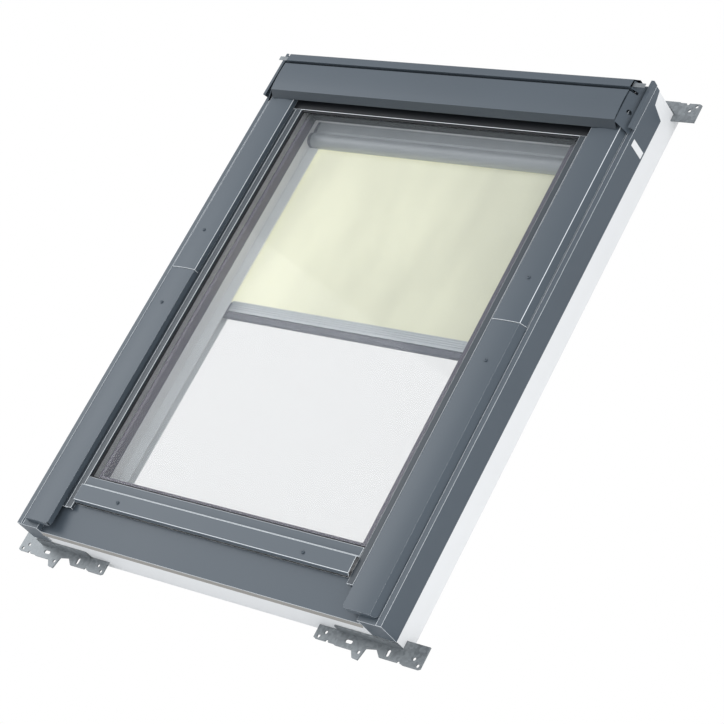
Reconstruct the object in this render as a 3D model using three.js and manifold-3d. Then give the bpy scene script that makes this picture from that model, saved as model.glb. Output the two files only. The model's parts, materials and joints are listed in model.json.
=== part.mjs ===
// Centre-pivot roof window with a roller blind behind the glass.
// Millimetres. X runs across the window, Y up the roof slope, Z out of the roof.
// The underside of the frame lies on Z = 0 and the origin is under the middle of the window.
import * as THREE from "three";
import { mergeVertices } from "three/addons/utils/BufferGeometryUtils.js";
import Module from "manifold-3d";

const wasm = await Module();
wasm.setup();

// Driving dimensions
const windowWidth = 780;
const windowLength = 978;
const frameDepth = 88;
const pivotOffset = 25;
const pivotRise = 16;

// Shared clearances and sheet gauge
const fitGap = 0.3;
const sheetGauge = 1.2;
const cutOverrun = 4;

// Frame members
const frameSideWidth = 43.5;
const frameBottomWidth = 60;
const frameTopWidth = 47;
const frameBottomDrop = 12;

// Sash members
const sideRunningGap = 5;
const bottomRunningGap = 12.5;
const topRunningGap = 9.5;
const sashSideWidth = 55;
const sashBottomWidth = 40;
const sashTopWidth = 46;
const sashDepth = 58.5;
const rebateWidth = 16;
const sashTopRecess = 3.5;

// Glass unit
const paneThickness = 4;
const paneCavity = 16;
const paneEdgeGap = 2;
const spacerWidth = 8;
const spacerInset = 12;

// Cladding, covers and strips
const claddingInset = 11.5;
const outerStripWidth = 10.5;
const outerStripRise = 2;
const sideFaceHeight = 48;
const coverInset = 13;
const coverBevelWidth = 8;
const coverFlatWidth = 52.5;
const coverRise = 12;
const coverCrown = 1.6;
const coverEndMargin = 9;
const coverCornerRadius = 7;
const coverJointGap = 1;
const glassStripLap = 11;
const glassStripCap = 12;
const glassStripGroove = 2.4;
const glassStripRise = 1.6;
const glassStripOverhang = 25;
const sashTopCoverWidth = 50;

// Hood over the frame top
const hoodRise = 18.2;
const hoodPanelWidth = 66;
const hoodBevel = 8;
const hoodStripWidth = 15;
const hoodJoint = 5;
const hoodInset = 5;
const hoodBarWidth = 6;
const hoodBarHeight = 12;
const hoodUpstand = 10;

// Pivot hinge
const hingeTrackRadius = 36;
const hingeTrackWidth = 6;
const hingePlateHalfLength = 46;
const hingePlateThickness = 3.4;
const hingePlateDrop = 4;
const hingeSashPlateDrop = 16.5;
const runnerStartAngle = 232;
const runnerEndAngle = 350;
const runnerStandoff = 0.6;

// Mounting brackets
const bracketLength = 204;
const bracketOverhang = 42;
const bracketThickness = 2.5;
const bracketDrop = 24.5;
const bracketBand = 23;
const bracketWrap = 13;
const bracketLegHeight = 20;
const bracketHoleRadius = 3;
const bracketSlotLength = 14;
const bracketSlotWidth = 6;
const bracketLegLength = 120;

// Room-side fittings
const barEndInset = 45;
const barDepth = 29;
const barHeight = 12;
const barPinRadius = 3;
const barPinLength = 8;
const barBracketWidth = 12;
const barClearance = 6;
const flapEndInset = 35;
const flapThickness = 2.4;
const flapHeight = 34;
const gasketWidth = 8;
const gasketThickness = 4.2;

// Roller blind
const railWidth = 22;
const railHeight = 15.2;
const railWall = 1.5;
const barTopOffset = 12;
const blindBarWidth = 20;
const blindGripWidth = 11.5;
const blindBarThickness = 10;
const shoeEngagement = 18;
const fabricThickness = 0.8;
const fabricEdgeInRail = 6;
const cassetteDrop = 49;
const cassetteRadius = 14;
const cassetteBackHeight = 5;
const casingLipAngle = 205;
const casingBackAngle = 30;
const cassetteCapThickness = 6.5;
const rollerRadius = 6;
const rollerWall = 1;
const rollRadius = 8;
const axlePinRadius = 3;
const axlePinLength = 10;

// Places that follow from the sizes above
const pivotHeight = frameDepth + pivotRise;
const halfWidth = windowWidth / 2;
const halfLength = windowLength / 2;
const frameOuter = halfWidth - sheetGauge - fitGap;
const frameEnd = halfLength - sheetGauge - fitGap;
const frameInner = frameOuter - frameSideWidth;
const frameBottomFace = -frameEnd + frameBottomWidth;
const frameTopFace = frameEnd - frameTopWidth;
const sashOuter = frameInner - sideRunningGap;
const daylightHalf = sashOuter - sashSideWidth;
const sashBottomEnd = frameBottomFace + bottomRunningGap;
const sashTopEnd = frameTopFace - topRunningGap;
const daylightBottom = sashBottomEnd + sashBottomWidth;
const daylightTop = sashTopEnd - sashTopWidth;
const sashTop = frameDepth - sashTopRecess;
const sashUnderside = sashTop - sashDepth;
const glassStripEdge = daylightHalf + glassStripLap;
const sashCoverTop = sashTopEnd - sashTopCoverWidth;
const coverOuterEdge = halfWidth - coverInset;
const coverFlatEdge = coverOuterEdge - coverBevelWidth;
const coverInnerEdge = coverFlatEdge - coverFlatWidth;
const hingePlateTop = pivotHeight - hingePlateDrop;
const hingeSashPlateTop = pivotHeight - hingeSashPlateDrop;
const barHalfLength = daylightHalf - barEndInset;
const flapHalfLength = daylightHalf - flapEndInset;
const glassTop = sashTop - fitGap;
const glassBottom = glassTop - paneThickness * 2 - paneCavity;
const rebateLedge = glassBottom - fitGap;
const rebateHalf = daylightHalf + rebateWidth;
const paneHalfWidth = rebateHalf - paneEdgeGap;
const paneBottom = daylightBottom - rebateWidth + paneEdgeGap;
const paneTop = daylightTop + rebateWidth - paneEdgeGap;
const claddingTop = frameDepth + fitGap + sheetGauge;
const sideFaceFoot = claddingTop + outerStripRise - sideFaceHeight;
const bracketHeight = sideFaceFoot - bracketDrop;
const coverSeat = claddingTop + fitGap;
const coverTop = coverSeat + coverRise;
const blindPlane = sashUnderside + railWall + blindBarThickness * 0.7;

const colours = {
  cladding: 0x74828f,
  claddingDark: 0x5d6a73,
  white: 0xf3f3f3,
  galvanised: 0xb9c2c8,
  glass: 0xdfe8ea,
  rubber: 0x23262a,
  aluminium: 0xc9cfd2,
  greyPlastic: 0x666678,
  fabric: 0xeceed2,
};

function paint(colour, roughness, metalness) {
  return new THREE.MeshStandardMaterial({ color: colour, roughness, metalness });
}

const window = new THREE.Group();
window.name = "roof_window_with_blind";
const sash = new THREE.Group();
sash.name = "sash_group";
window.add(sash);

// Turn a closed three.js geometry into a solid that can be joined and cut.
function solid(geometry) {
  const bare = geometry.clone();
  bare.deleteAttribute("normal");
  bare.deleteAttribute("uv");
  const merged = mergeVertices(bare, 1e-4);
  const index = merged.index;
  const meshData = new wasm.Mesh({
    numProp: 3,
    vertProperties: new Float32Array(merged.attributes.position.array),
    triVerts: new Uint32Array(index.array),
  });
  return new wasm.Manifold(meshData);
}

function geometryOf(body) {
  const data = body.getMesh();
  const geometry = new THREE.BufferGeometry();
  geometry.setAttribute("position", new THREE.BufferAttribute(new Float32Array(data.vertProperties), 3));
  geometry.setIndex(new THREE.BufferAttribute(new Uint32Array(data.triVerts), 1));
  geometry.computeVertexNormals();
  return geometry;
}

function join(...bodies) {
  return bodies.reduce((whole, body) => whole.add(body));
}

function cut(body, ...tools) {
  return tools.reduce((rest, tool) => rest.subtract(tool), body);
}

function piece(name, body, material, parent = window) {
  const mesh = new THREE.Mesh(geometryOf(body), material);
  mesh.name = name;
  parent.add(mesh);
  return mesh;
}

function outline(points) {
  return new THREE.Shape(points.map(([u, v]) => new THREE.Vector2(u, v)));
}

function extrude(shape, length, curveSegments = 12) {
  return new THREE.ExtrudeGeometry(shape, { depth: length, bevelEnabled: false, curveSegments });
}

// A section drawn in X and Z, run along Y.
function alongY(shape, fromY, toY, curveSegments) {
  const geometry = extrude(shape, toY - fromY, curveSegments);
  geometry.rotateX(Math.PI / 2);
  geometry.translate(0, toY, 0);
  return solid(geometry);
}

// A section drawn in Y and Z, run along X.
function alongX(shape, fromX, toX, curveSegments) {
  const geometry = extrude(shape, toX - fromX, curveSegments);
  const turn = new THREE.Matrix4();
  turn.makeBasis(new THREE.Vector3(0, 1, 0), new THREE.Vector3(0, 0, 1), new THREE.Vector3(1, 0, 0));
  geometry.applyMatrix4(turn);
  geometry.translate(fromX, 0, 0);
  return solid(geometry);
}

// A plan drawn in X and Y, raised along Z.
function alongZ(shape, fromZ, toZ, curveSegments) {
  const geometry = extrude(shape, toZ - fromZ, curveSegments);
  geometry.translate(0, 0, fromZ);
  return solid(geometry);
}

function block(fromX, toX, fromY, toY, fromZ, toZ) {
  const geometry = new THREE.BoxGeometry(toX - fromX, toY - fromY, toZ - fromZ);
  geometry.translate((fromX + toX) / 2, (fromY + toY) / 2, (fromZ + toZ) / 2);
  return solid(geometry);
}

function mirrorX(body) {
  return body.mirror([1, 0, 0]);
}

// The section of a folded sheet: a line of points, given its gauge on the right-hand side.
function foldedSection(points, gauge) {
  const outer = points.map(([u, v]) => new THREE.Vector2(u, v));
  const normals = [];
  for (let i = 0; i < outer.length - 1; i += 1) {
    const run = outer[i + 1].clone().sub(outer[i]).normalize();
    normals.push(new THREE.Vector2(run.y, -run.x));
  }
  const inner = outer.map((point, i) => {
    const before = normals[Math.max(i - 1, 0)];
    const after = normals[Math.min(i, normals.length - 1)];
    const mitre = before.clone().add(after).normalize();
    const reach = gauge / Math.max(mitre.dot(after), 0.4);
    return point.clone().add(mitre.multiplyScalar(reach));
  });
  return new THREE.Shape([...outer, ...inner.reverse()]);
}

function arcPoints(centreU, centreV, radius, fromDegrees, toDegrees, steps) {
  const points = [];
  for (let i = 0; i <= steps; i += 1) {
    const angle = THREE.MathUtils.degToRad(fromDegrees + ((toDegrees - fromDegrees) * i) / steps);
    points.push([centreU + radius * Math.cos(angle), centreV + radius * Math.sin(angle)]);
  }
  return points;
}

function arcBand(centreU, centreV, radius, width, fromDegrees, toDegrees, steps) {
  const outer = arcPoints(centreU, centreV, radius + width / 2, fromDegrees, toDegrees, steps);
  const inner = arcPoints(centreU, centreV, radius - width / 2, toDegrees, fromDegrees, steps);
  return outline([...outer, ...inner]);
}

function roundedRectangle(fromU, toU, fromV, toV, radius) {
  const shape = new THREE.Shape();
  shape.moveTo(fromU + radius, fromV);
  shape.lineTo(toU - radius, fromV);
  shape.absarc(toU - radius, fromV + radius, radius, -Math.PI / 2, 0);
  shape.lineTo(toU, toV - radius);
  shape.absarc(toU - radius, toV - radius, radius, 0, Math.PI / 2);
  shape.lineTo(fromU + radius, toV);
  shape.absarc(fromU + radius, toV - radius, radius, Math.PI / 2, Math.PI);
  shape.lineTo(fromU, fromV + radius);
  shape.absarc(fromU + radius, fromV + radius, radius, Math.PI, Math.PI * 1.5);
  return shape;
}

// A run of points across a shallow crown, from one edge height to the other.
function crownPoints(fromU, fromV, toU, toV, crown, steps) {
  const points = [];
  for (let i = 0; i <= steps; i += 1) {
    const share = i / steps;
    const lift = 4 * crown * share * (1 - share);
    points.push([fromU + (toU - fromU) * share, fromV + (toV - fromV) * share + lift]);
  }
  return points;
}

const claddingPaint = paint(colours.cladding, 0.45, 0.3);
const darkPaint = paint(colours.claddingDark, 0.5, 0.3);
const whitePaint = paint(colours.white, 0.5, 0);
const zinc = paint(colours.galvanised, 0.4, 0.8);
const glass = new THREE.MeshStandardMaterial({
  color: colours.glass,
  roughness: 0.05,
  metalness: 0,
  transparent: true,
  opacity: 0.35,
});
const rubber = paint(colours.rubber, 0.8, 0);
const aluminium = paint(colours.aluminium, 0.35, 0.7);
const greyPlastic = paint(colours.greyPlastic, 0.5, 0);
const cloth = paint(colours.fabric, 0.9, 0);

// Frame: two sides run the full length, the top and bottom members stand between them.
function frameSide() {
  const section = outline([
    [frameInner, 0],
    [frameOuter, 0],
    [frameOuter, frameDepth],
    [frameInner, frameDepth],
  ]);
  const member = alongY(section, -frameEnd, frameEnd);
  const pocket = block(
    frameInner - cutOverrun,
    frameInner + hingePlateThickness + fitGap * 2,
    pivotOffset - hingePlateHalfLength - fitGap,
    pivotOffset + hingePlateHalfLength + fitGap,
    pivotHeight - hingeTrackRadius - hingeTrackWidth - fitGap,
    frameDepth + cutOverrun,
  );
  return cut(member, pocket);
}
piece("frame_right", frameSide(), whitePaint);
piece("frame_left", mirrorX(frameSide()), whitePaint);

const frameBetween = frameInner - fitGap;
const frameBottomSection = outline([
  [-frameEnd, 0],
  [frameBottomFace, 0],
  [frameBottomFace, frameDepth - frameBottomDrop / 2],
  [-frameEnd, frameDepth - frameBottomDrop],
]);
piece("frame_bottom", alongX(frameBottomSection, -frameBetween, frameBetween), whitePaint);
const frameTopSection = outline([
  [frameTopFace, 0],
  [frameEnd, 0],
  [frameEnd, frameDepth],
  [frameTopFace, frameDepth],
]);
piece("frame_top", alongX(frameTopSection, -frameBetween, frameBetween), whitePaint);

const dripLip = 4;
const bottomSkirt = 9;
const bottomSkirtStep = 2;
const bottomFront = frameDepth - frameBottomDrop + fitGap + sheetGauge;
const bottomBack = frameDepth - frameBottomDrop / 2 + fitGap + sheetGauge;
const coverBottomEnd = -halfLength + coverEndMargin;

// Side cladding: a folded sheet over the frame side, with a raised outer strip and a closed lower end.
function sideCladding() {
  const stripTop = claddingTop + outerStripRise;
  const stripInner = halfWidth - outerStripWidth;
  const section = foldedSection([
    [frameInner + claddingInset, claddingTop],
    [stripInner - outerStripRise / 2, claddingTop],
    [stripInner + outerStripRise / 2, stripTop],
    [halfWidth, stripTop],
    [halfWidth, stripTop - sideFaceHeight],
  ], sheetGauge);
  const sheet = alongY(section, -halfLength, frameEnd);
  const endPlate = block(
    frameInner + fitGap, halfWidth,
    -halfLength, -halfLength + sheetGauge,
    stripTop - sideFaceHeight, claddingTop,
  );
  const lap = block(
    frameInner - sheetGauge - fitGap, frameInner + claddingInset + sheetGauge,
    -halfLength, coverBottomEnd + sheetGauge,
    claddingTop - sheetGauge, claddingTop,
  );
  const inside = alongX(outline([
    [-halfLength, bottomFront + fitGap],
    [frameBottomFace, bottomBack + fitGap],
    [frameBottomFace, claddingTop],
    [-halfLength, claddingTop],
  ]), frameInner - sheetGauge - fitGap, frameInner - fitGap);
  const slant = alongX(outline([
    [frameEnd - sideFaceHeight * 0.9, -cutOverrun],
    [frameEnd + cutOverrun, -cutOverrun],
    [frameEnd + cutOverrun, stripTop - sideFaceHeight * 0.2],
    [frameEnd - sideFaceHeight * 0.5, stripTop - sideFaceHeight * 0.35],
  ]), frameInner, halfWidth + cutOverrun);
  return cut(join(sheet, endPlate, lap, inside), slant);
}
piece("side_cladding_right", sideCladding(), claddingPaint);
piece("side_cladding_left", mirrorX(sideCladding()), claddingPaint);

// Bottom cladding: slopes down from a low upstand at the sash to a drip edge.
const bottomCladdingSection = foldedSection([
  [-halfLength - bottomSkirtStep, bottomFront - bottomSkirt],
  [-halfLength, bottomFront - bottomSkirt + dripLip],
  [-halfLength, bottomFront],
  [frameBottomFace - fitGap, bottomBack],
], sheetGauge);
piece("bottom_cladding", alongX(bottomCladdingSection, -frameBetween, frameBetween), claddingPaint);

// A side cover: inner flange, crowned top and outer bevel, with a turned-down lower end.
function sideCover(fromY, toY, roundsLowerEnd) {
  const crown = crownPoints(coverInnerEdge, coverTop - coverCrown, coverFlatEdge, coverTop - coverCrown, coverCrown, 6);
  const section = foldedSection([
    [coverInnerEdge, coverSeat],
    ...crown,
    [coverOuterEdge, coverSeat],
  ], sheetGauge);
  const room = block(coverInnerEdge, coverOuterEdge, fromY, toY, coverSeat, coverTop + cutOverrun);
  let sheet = alongY(section, fromY, toY);
  if (roundsLowerEnd) {
    const endPlate = alongY(outline([
      [coverInnerEdge, coverSeat],
      [coverOuterEdge, coverSeat],
      ...crown.reverse(),
    ]), fromY, fromY + sheetGauge);
    const plan = alongZ(
      roundedRectangle(coverInnerEdge, coverOuterEdge, fromY, toY + coverCornerRadius, coverCornerRadius),
      coverSeat - cutOverrun,
      coverTop + cutOverrun,
      6,
    );
    sheet = join(sheet, endPlate).intersect(plan);
  }
  return sheet.intersect(room);
}
const hoodLowerEdge = frameEnd - hoodUpstand - hoodStripWidth - hoodJoint - hoodPanelWidth;
const lowerCover = sideCover(coverBottomEnd, pivotOffset - coverJointGap / 2, true);
const upperCover = sideCover(pivotOffset + coverJointGap / 2, frameTopFace, false);
piece("lower_cover_right", lowerCover, claddingPaint, sash);
piece("lower_cover_left", mirrorX(lowerCover), claddingPaint, sash);
piece("upper_cover_right", upperCover, claddingPaint);
piece("upper_cover_left", mirrorX(upperCover), claddingPaint);

// Hood: a crowned panel and a back strip, closed by sloped ends and two side bars.
const hoodBackEdge = frameEnd - hoodUpstand;
const hoodStripFront = hoodBackEdge - hoodStripWidth;
const hoodPanelBack = hoodStripFront - hoodJoint;
const hoodSeat = coverTop + fitGap;
const hoodHeight = coverTop + hoodRise;
const hoodHalfLength = coverFlatEdge - hoodInset;
const hoodPanelSection = foldedSection([
  [hoodLowerEdge, hoodSeat],
  ...crownPoints(hoodLowerEdge + hoodBevel, hoodHeight - coverCrown * 2, hoodPanelBack, hoodHeight - coverCrown,
    coverCrown, 5),
  [hoodPanelBack, hoodSeat],
], sheetGauge);
const hoodRoom = block(-hoodHalfLength, hoodHalfLength, hoodLowerEdge, halfLength, hoodSeat, hoodHeight + cutOverrun);
piece("hood_panel", alongX(hoodPanelSection, -hoodHalfLength, hoodHalfLength).intersect(hoodRoom), claddingPaint);
const hoodBackSkirt = 34;
const hoodStripSection = foldedSection([
  [hoodStripFront, hoodSeat],
  [hoodStripFront, hoodHeight],
  [hoodBackEdge, hoodHeight - coverCrown],
  [halfLength, hoodSeat],
  [halfLength, claddingTop - hoodBackSkirt],
], sheetGauge);
piece("hood_back_strip", alongX(hoodStripSection, -hoodHalfLength, hoodHalfLength), claddingPaint);

function hoodSideBar() {
  const section = foldedSection([
    [halfWidth - hoodBarWidth, claddingTop + outerStripRise + fitGap + hoodBarHeight],
    [halfWidth, claddingTop + outerStripRise + fitGap + hoodBarHeight],
    [halfWidth, claddingTop + outerStripRise + fitGap],
  ], sheetGauge);
  const bar = alongY(section, hoodLowerEdge + hoodBevel / 2, halfLength);
  const mitre = alongX(outline([
    [hoodLowerEdge, claddingTop],
    [hoodLowerEdge + hoodBevel, claddingTop],
    [hoodLowerEdge, hoodHeight],
  ]), frameInner, halfWidth + cutOverrun);
  return cut(bar, mitre);
}
piece("hood_side_bar_right", hoodSideBar(), darkPaint);
piece("hood_side_bar_left", mirrorX(hoodSideBar()), darkPaint);

// Each hood end has a lap under the panel and the strip, and a sloped flap with a screw hole.
const hoodEndStart = hoodHalfLength + fitGap;
const hoodEndSlope = halfWidth - hoodBarWidth - fitGap - sheetGauge - hoodEndStart;
const hoodEndHole = 4;
const hoodEndLap = 6;
function hoodEnd() {
  const top = hoodHeight - coverCrown * 2 - sheetGauge - fitGap;
  const foot = claddingTop + outerStripRise + fitGap;
  const toe = hoodEndStart + hoodEndSlope;
  const face = foldedSection([
    [hoodHalfLength - hoodEndLap, top],
    [hoodEndStart, top],
    [toe, foot + sheetGauge],
    [toe + sheetGauge, foot + sheetGauge],
  ], sheetGauge);
  const flap = alongY(face, hoodLowerEdge, hoodBackEdge);
  const lapCut = hoodHalfLength - hoodEndLap - cutOverrun;
  const joint = block(lapCut, halfWidth, hoodPanelBack, hoodStripFront, foot + hoodBarHeight, hoodHeight);
  const walls = block(lapCut, hoodEndStart, hoodPanelBack - sheetGauge - fitGap, hoodStripFront + sheetGauge + fitGap,
    foot, hoodHeight);
  const front = block(lapCut, hoodEndStart, hoodLowerEdge - cutOverrun, hoodLowerEdge + hoodBevel + sheetGauge * 2,
    foot, hoodHeight);
  const nose = alongX(outline([
    [hoodLowerEdge - cutOverrun, foot],
    [hoodLowerEdge, foot],
    [hoodLowerEdge + hoodBevel, hoodHeight],
    [hoodLowerEdge - cutOverrun, hoodHeight],
  ]), lapCut, halfWidth);
  const hole = new THREE.CylinderGeometry(hoodEndHole, hoodEndHole, hoodEndSlope * 4, 14);
  hole.rotateZ(Math.PI / 2);
  hole.translate(toe, (hoodLowerEdge + hoodPanelBack) / 2, (top + foot) / 2);
  return cut(flap, joint, walls, front, nose, solid(hole));
}
piece("hood_end_right", hoodEnd(), claddingPaint);
piece("hood_end_left", mirrorX(hoodEnd()), claddingPaint);

// Mounting brackets: one perforated plate at each corner, with a leg up the frame end.
// Places on a plate are shares of its length, from the end with three holes, and of its band.
const bracketEdgeShares = [
  [0, 0.92], [0.02, 1], [0.19, 1], [0.21, 1.06], [0.37, 1.06], [0.405, 1.53], [0.46, 1.58],
  [0.483, 0.69], [0.575, 0.54], [0.624, 1], [0.82, 1], [0.84, 1.06], [0.98, 1.06], [1, 0.96],
];
const bracketHoleShares = [[0.088, 0.385], [0.04, 0.77], [0.129, 0.98], [0.44, 1.05], [0.8, 1], [0.915, 0.44],
  [0.968, 0.81]];
const bracketLongSlotShares = [0.317, 0.56];
const bracketCrossSlotShares = [0.685, 0.56];
const slotRoundShare = 0.48;

function drillZ(x, y, radius) {
  const drill = new THREE.CylinderGeometry(radius, radius, bracketThickness + cutOverrun * 2, 12);
  drill.rotateX(Math.PI / 2);
  drill.translate(x, y, bracketHeight + bracketThickness / 2);
  return solid(drill);
}

function slotZ(x, y, length, width) {
  const corner = Math.min(length, width) * slotRoundShare;
  const plan = roundedRectangle(x - length / 2, x + length / 2, y - width / 2, y + width / 2, corner);
  return alongZ(plan, bracketHeight - cutOverrun, bracketHeight + bracketThickness + cutOverrun, 5);
}

function bracket(startX) {
  const inner = -frameEnd - fitGap;
  const plateTop = bracketHeight + bracketThickness;
  const along = (share) => startX + bracketLength * share;
  const out = (share) => inner - bracketBand * share;
  const band = alongZ(outline([
    [startX, inner],
    ...bracketEdgeShares.map(([u, v]) => [along(u), out(v)]),
    [along(1), inner],
  ]), bracketHeight, plateTop);
  const wrap = block(
    frameOuter + fitGap, halfWidth + bracketOverhang,
    inner - bracketThickness, inner + bracketWrap,
    bracketHeight, plateTop,
  );
  const leg = block(
    frameOuter - bracketLegLength, frameOuter,
    inner - bracketThickness, inner,
    bracketHeight, bracketHeight + bracketLegHeight,
  );
  const onSide = startX > 0 ? (body) => body : mirrorX;
  const holes = bracketHoleShares.map(([u, v]) => drillZ(along(u), out(v), bracketHoleRadius));
  const [longU, longV] = bracketLongSlotShares;
  const [crossU, crossV] = bracketCrossSlotShares;
  const slots = [
    slotZ(along(longU), out(longV), bracketSlotLength, bracketSlotWidth),
    slotZ(along(crossU), out(crossV), bracketSlotWidth, bracketBand / 2),
  ];
  return join(cut(band, ...holes, ...slots), onSide(wrap), onSide(leg));
}
const bottomRight = bracket(halfWidth + bracketOverhang - bracketLength);
const bottomLeft = bracket(-halfWidth - bracketOverhang);
const halfTurn = [0, 0, 180];
piece("bracket_top_right", bottomLeft.rotate(halfTurn), zinc);
piece("bracket_top_left", bottomRight.rotate(halfTurn), zinc);
piece("bracket_bottom_right", bottomRight, zinc);
piece("bracket_bottom_left", bottomLeft, zinc);

// Sash: two rebated sides run the full length, the top and bottom members stand between them.
function sashSide() {
  const section = outline([
    [daylightHalf, sashUnderside],
    [sashOuter, sashUnderside],
    [sashOuter, sashTop],
    [rebateHalf, sashTop],
    [rebateHalf, rebateLedge],
    [daylightHalf, rebateLedge],
  ]);
  const member = alongY(section, sashBottomEnd, sashTopEnd);
  const pocket = block(
    sashOuter - hingePlateThickness - fitGap * 2,
    sashOuter + cutOverrun,
    pivotOffset - hingePlateHalfLength + cutOverrun - fitGap,
    pivotOffset + hingePlateHalfLength - cutOverrun + fitGap,
    pivotHeight - hingeTrackRadius - hingeTrackWidth - fitGap,
    sashTop + cutOverrun,
  );
  return cut(member, pocket);
}
piece("sash_right", sashSide(), whitePaint, sash);
piece("sash_left", mirrorX(sashSide()), whitePaint, sash);

function sashEnd(endY, daylightY) {
  const low = block(
    -daylightHalf + fitGap, daylightHalf - fitGap,
    Math.min(endY, daylightY), Math.max(endY, daylightY),
    sashUnderside, rebateLedge,
  );
  const rebateY = daylightY + Math.sign(endY) * rebateWidth;
  const high = block(
    -rebateHalf + fitGap, rebateHalf - fitGap,
    Math.min(endY, rebateY), Math.max(endY, rebateY),
    rebateLedge + fitGap, sashTop,
  );
  const neck = block(
    -daylightHalf + fitGap, daylightHalf - fitGap,
    Math.min(endY, rebateY), Math.max(endY, rebateY),
    rebateLedge - fitGap, sashTop,
  );
  return join(low, neck, high);
}
piece("sash_bottom", sashEnd(sashBottomEnd, daylightBottom), whitePaint, sash);
piece("sash_top", sashEnd(sashTopEnd, daylightTop), whitePaint, sash);

// Glass unit: two panes held apart by a spacer frame.
function pane(fromZ) {
  return block(-paneHalfWidth, paneHalfWidth, paneBottom, paneTop, fromZ, fromZ + paneThickness);
}
piece("inner_pane", pane(glassBottom), glass, sash);
piece("outer_pane", pane(glassTop - paneThickness), glass, sash);
const spacerOuterX = paneHalfWidth - spacerInset;
const spacerBody = cut(
  block(-spacerOuterX, spacerOuterX, paneBottom + spacerInset, paneTop - spacerInset,
    glassBottom + paneThickness + fitGap, glassTop - paneThickness - fitGap),
  block(-spacerOuterX + spacerWidth, spacerOuterX - spacerWidth,
    paneBottom + spacerInset + spacerWidth, paneTop - spacerInset - spacerWidth,
    glassBottom, glassTop),
);
piece("glass_spacer", spacerBody, aluminium, sash);

// Strips that hold the glass edges: a capped strip down each side, a stepped cover across the bottom.
function glassStrip() {
  const capTop = claddingTop + glassStripRise;
  const section = foldedSection([
    [glassStripEdge, glassTop + fitGap],
    [glassStripEdge, capTop],
    [glassStripEdge + glassStripCap, capTop],
    [glassStripEdge + glassStripCap, claddingTop - glassStripRise],
    [glassStripEdge + glassStripCap + glassStripGroove, claddingTop - glassStripRise],
    [glassStripEdge + glassStripCap + glassStripGroove, claddingTop],
    [sashOuter - glassStripRise, claddingTop],
  ], sheetGauge);
  return alongY(section, sashBottomEnd - glassStripOverhang, sashCoverTop);
}
piece("glass_strip_right", glassStrip(), darkPaint, sash);
piece("glass_strip_left", mirrorX(glassStrip()), darkPaint, sash);

const sashCoverHalf = glassStripEdge - glassStripRise;
const sashCoverLap = 11;
const sashCoverStep = 15;
const sashCoverNose = 3;
const sashCoverLower = sashBottomEnd - sashCoverLap;
const sashCoverUpper = daylightBottom - sashCoverNose * 1.5;
const sashBottomCoverSection = foldedSection([
  [sashCoverLower - sashCoverNose, coverTop - coverRise * 0.9],
  [sashCoverLower, coverTop - coverRise * 0.4],
  [sashCoverUpper - sashCoverStep - sashCoverNose, coverTop - coverRise * 0.35],
  [sashCoverUpper - sashCoverStep, claddingTop + glassStripRise],
  [sashCoverUpper, claddingTop + glassStripRise],
  [sashCoverUpper, glassTop + fitGap],
], sheetGauge);
piece("sash_bottom_cover", alongX(sashBottomCoverSection, -sashCoverHalf, sashCoverHalf), claddingPaint, sash);
const sashTopCoverSection = foldedSection([
  [sashCoverTop + fitGap, glassTop + fitGap],
  [sashCoverTop + fitGap, claddingTop],
  [sashTopEnd, claddingTop],
  [sashTopEnd, sashTop - glassStripRise],
].map(([y, z], i) => (i > 1 ? [y + fitGap + sheetGauge, z] : [y, z])), sheetGauge);
piece("sash_top_cover", alongX(sashTopCoverSection, -sashOuter + glassStripRise, sashOuter - glassStripRise),
  darkPaint, sash);

// Rubber seals: a bead on the glass and a strip down each running gap.
const beadWidth = 3;
const beadDepth = 3;
const beadHalf = glassStripEdge - fitGap;
const beadTop = sashCoverTop;
const beadBottom = sashCoverUpper + fitGap;
const glazingBead = cut(
  block(-beadHalf, beadHalf, beadBottom, beadTop, glassTop + fitGap, glassTop + fitGap + beadDepth),
  block(-beadHalf + beadWidth, beadHalf - beadWidth, beadBottom + beadWidth, beadTop - beadWidth,
    glassTop, glassTop + beadDepth * 2),
);
piece("glazing_bead", glazingBead, rubber, sash);

function sideSeal(fromY, toY) {
  return block(
    frameInner - fitGap - gasketThickness, frameInner - fitGap,
    fromY, toY,
    sashUnderside + gasketWidth, sashUnderside + gasketWidth * 2,
  );
}
const sealBreak = hingePlateHalfLength + gasketWidth;
for (const [side, flip] of [["right", (body) => body], ["left", mirrorX]]) {
  const lower = sideSeal(frameBottomFace, pivotOffset - sealBreak);
  const upper = sideSeal(pivotOffset + sealBreak, frameTopFace);
  piece(`lower_seal_${side}`, flip(lower), rubber);
  piece(`upper_seal_${side}`, flip(upper), rubber);
}

// Pivot hinge: an arc track in the frame plate and an arc runner on the sash plate.
function frameHingePlate() {
  const plate = block(
    frameInner + fitGap, frameInner + fitGap + hingePlateThickness,
    pivotOffset - hingePlateHalfLength, pivotOffset + hingePlateHalfLength,
    pivotHeight - hingeTrackRadius - hingeTrackWidth, hingePlateTop,
  );
  const track = alongX(
    arcBand(pivotOffset, pivotHeight, hingeTrackRadius, hingeTrackWidth + fitGap * 2, 180, 360, 36),
    frameInner - cutOverrun,
    frameInner + hingePlateThickness - sheetGauge + fitGap,
  );
  return cut(plate, track);
}
piece("hinge_plate_frame_right", frameHingePlate(), zinc);
piece("hinge_plate_frame_left", mirrorX(frameHingePlate()), zinc);

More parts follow.
